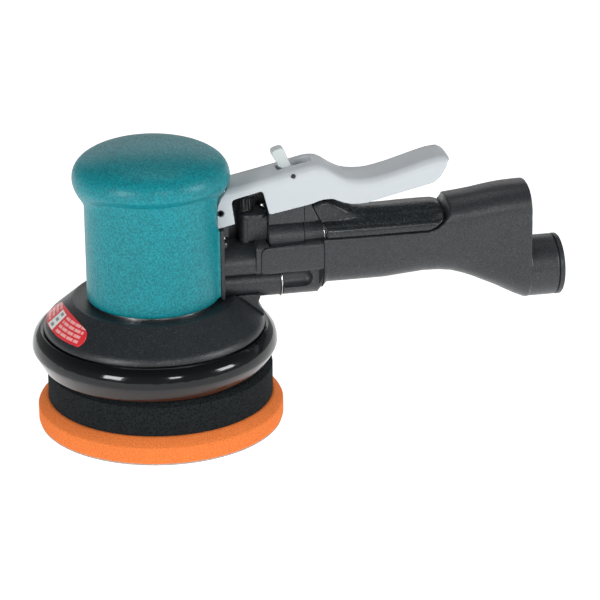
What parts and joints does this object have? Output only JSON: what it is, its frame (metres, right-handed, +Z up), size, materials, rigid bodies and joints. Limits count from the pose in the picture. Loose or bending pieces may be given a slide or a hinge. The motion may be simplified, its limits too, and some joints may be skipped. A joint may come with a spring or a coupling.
{
  "type": "random orbital sander",
  "caption": "Air-powered random orbital sander: a palm cap over the motor, a rear handle with a throttle lever, and a dust shroud round a foam pad with a hook face.",
  "frame": {"origin": "motor axis at the working face of the pad", "axes": "+Z up along the motor axis, +X along the handle towards the hose end"},
  "size_m": [0.278, 0.127, 0.1481],
  "materials": {
    "teal_rubber": "fine matte overmould with a faint mottle",
    "aluminium": "turned",
    "motor_steel": "ground",
    "pin_steel": "bright",
    "dark_pin": "oiled roll pin",
    "black_shroud": "grained matte",
    "gloss_skirt": "polished",
    "red_label": "printed film, plain",
    "grey_composite": "fine spark texture",
    "smooth_grip": "satin smooth",
    "white_felt": "felt",
    "brass": "turned",
    "valve_black": "fine matte",
    "vane_composite": "laminated",
    "plate_composite": "moulded fibre-reinforced",
    "black_foam": "firm open-cell foam",
    "orange_foam": "soft open-cell foam",
    "hook_fabric": "hook fastener cloth",
    "pale_lever": "smooth satin",
    "lock_tab": "smooth satin",
    "seal_rubber": "smooth"
  },
  "bodies": {
    "housing": {"palm_grip": "teal_rubber", "motor_housing": "aluminium", "motor_cylinder": "motor_steel", "upper_end_plate": "motor_steel", "lower_end_plate": "motor_steel", "lock_ring": "motor_steel", "dowel_pins": "pin_steel", "upper_bearing_outer": "pin_steel", "lower_bearing_outer": "pin_steel", "dust_shroud": "black_shroud", "skirt_ring": "gloss_skirt", "shroud_duct": "black_shroud", "shroud_screws": "pin_steel", "label_plate": "red_label", "handle_front": "grey_composite", "exhaust_joint_ring": "pin_steel", "inlet_housing": "grey_composite", "grip_adapter": "grey_composite", "inlet_joint_ring": "pin_steel", "rear_cover": "grey_composite", "top_grip": "smooth_grip", "exhaust_sleeve": "grey_composite", "muffler_felt": "white_felt", "inlet_bushing": "brass", "inlet_screen": "pin_steel", "air_pipe": "aluminium", "valve_cage": "valve_black", "valve_hood": "valve_black", "valve_spring": "pin_steel", "lever_bracket": "valve_black", "lever_pin": "dark_pin", "handle_screws": "dark_pin"},
    "rotor": {"rotor": "motor_steel", "rotor_vanes": "vane_composite", "eccentric_shaft": "motor_steel", "rotor_key": "pin_steel", "upper_bearing_inner": "pin_steel", "lower_bearing_inner": "pin_steel", "spindle_bearing_outer": "pin_steel"},
    "pad": {"spindle": "pin_steel", "spindle_bearing_inner": "pin_steel", "spindle_screw": "pin_steel", "pad_plate": "plate_composite", "pad_rivets": "pin_steel", "pad_firm_foam": "black_foam", "pad_face_foam": "orange_foam", "hook_face": "hook_fabric"},
    "lever": {"throttle_lever": "pale_lever", "lock_pin": "dark_pin", "lock_spring": "pin_steel"},
    "lock_lever": {"lock_off_lever": "lock_tab"},
    "valve": {"valve_stem": "pin_steel", "valve_seal": "seal_rubber"},
    "dial": {"speed_dial": "valve_black"}
  },
  "joints": [
    {"name": "rotor_spin", "type": "hinge", "parent": "housing", "child": "rotor", "pos_m": [0, 0, 0.09], "axis": [0, 0, 1], "continuous": true},
    {"name": "pad_spin", "type": "hinge", "parent": "rotor", "child": "pad", "pos_m": [0.0024, 0, 0.045], "axis": [0, 0, 1], "continuous": true},
    {"name": "lever_press", "type": "hinge", "parent": "housing", "child": "lever", "pos_m": [0.0332, 0, 0.1126], "axis": [0, 1, 0], "range_deg": [0, 5], "stiffness_Nm_per_rad": 1.5, "springref_deg": -5.73},
    {"name": "lock_flip", "type": "hinge", "parent": "lever", "child": "lock_lever", "pos_m": [0.0709, 0, 0.1294], "axis": [0, 1, 0], "range_deg": [0, 35], "stiffness_Nm_per_rad": 0.02, "springref_deg": -28.65},
    {"name": "valve_travel", "type": "slide", "parent": "housing", "child": "valve", "axis": [0, 0, 1], "range_m": [-0.0013, 0], "deforming": ["valve_spring"]},
    {"name": "dial_turn", "type": "hinge", "parent": "housing", "child": "dial", "pos_m": [0.0479, 0, 0.115], "axis": [0, 0, 1], "range_deg": [0, 270]}
  ],
  "couplings": [
    {"joint": "valve_travel", "follows": "lever_press", "m_per_rad": -0.0147}
  ]
}
